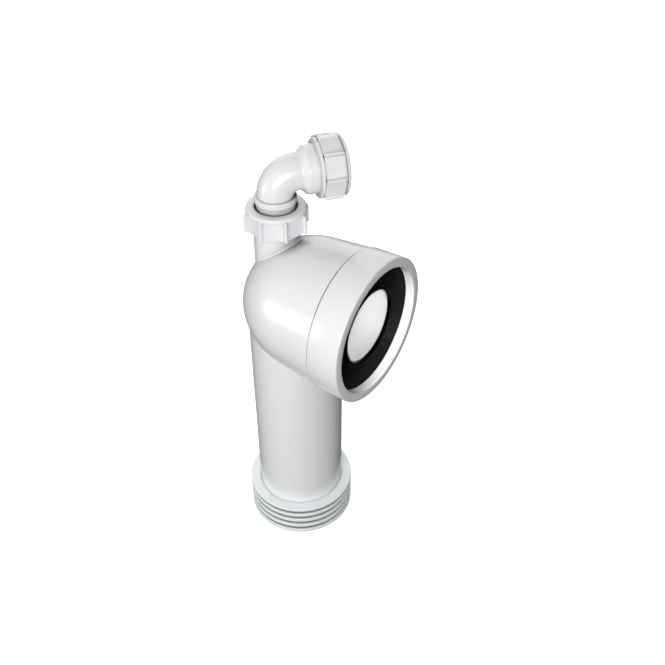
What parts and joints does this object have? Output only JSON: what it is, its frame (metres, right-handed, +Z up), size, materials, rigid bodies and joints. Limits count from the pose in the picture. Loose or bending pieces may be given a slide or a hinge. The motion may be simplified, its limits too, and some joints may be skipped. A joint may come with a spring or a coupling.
{
  "type": "toilet pan connector",
  "caption": "Bent pan connector with a domed pan socket, black lip seal, long tail with finned seal, and a vent boss holding a waste elbow under a compression nut.",
  "frame": {"origin": "centre of the tail's lower end, on the tail's axis, in the plane of the finned seal's end face", "axes": "+Z up the tail, +X out of the pan socket, the vent boss behind the crown on the X-Z plane"},
  "size_m": [0.1493, 0.1384, 0.4366],
  "materials": {
    "white_plastic": "satin moulded polypropylene",
    "black_rubber": "matt moulded rubber",
    "pale_rubber": "matt soft thermoplastic rubber"
  },
  "bodies": {
    "connector": {"bend_body": "white_plastic", "socket_collar": "white_plastic", "pan_seal": "black_rubber", "outlet_seal": "pale_rubber", "boss_seal": "black_rubber"},
    "elbow": {"vent_elbow": "white_plastic", "elbow_seal": "black_rubber"},
    "boss_slip_washer": {"boss_washer": "white_plastic"},
    "boss_nut": {"boss_nut": "white_plastic"},
    "elbow_slip_washer": {"elbow_washer": "white_plastic"},
    "elbow_nut": {"elbow_nut": "white_plastic"}
  },
  "joints": [
    {"name": "elbow_swivel", "type": "hinge", "parent": "connector", "child": "elbow", "pos_m": [-0.0175, 0, 0.37], "axis": [0, 0, 1], "continuous": true},
    {"name": "boss_nut_lift", "type": "slide", "parent": "connector", "child": "boss_slip_washer", "axis": [0, 0, 1], "range_m": [0, 0.007]},
    {"name": "boss_nut_turn", "type": "hinge", "parent": "boss_slip_washer", "child": "boss_nut", "pos_m": [-0.0175, 0, 0.37], "axis": [0, 0, 1], "range_deg": [0, 720]},
    {"name": "elbow_nut_slide", "type": "slide", "parent": "elbow", "child": "elbow_slip_washer", "axis": [0.6157, 0.788, 0], "range_m": [0, 0.01225]},
    {"name": "elbow_nut_turn", "type": "hinge", "parent": "elbow_slip_washer", "child": "elbow_nut", "pos_m": [0.01328, 0.0394, 0.4068], "axis": [0.6157, 0.788, 0], "range_deg": [0, 1260]}
  ],
  "couplings": [
    {"joint": "boss_nut_lift", "follows": "boss_nut_turn", "m_per_rad": 0.0005569},
    {"joint": "elbow_nut_slide", "follows": "elbow_nut_turn", "m_per_rad": 0.0005569}
  ]
}
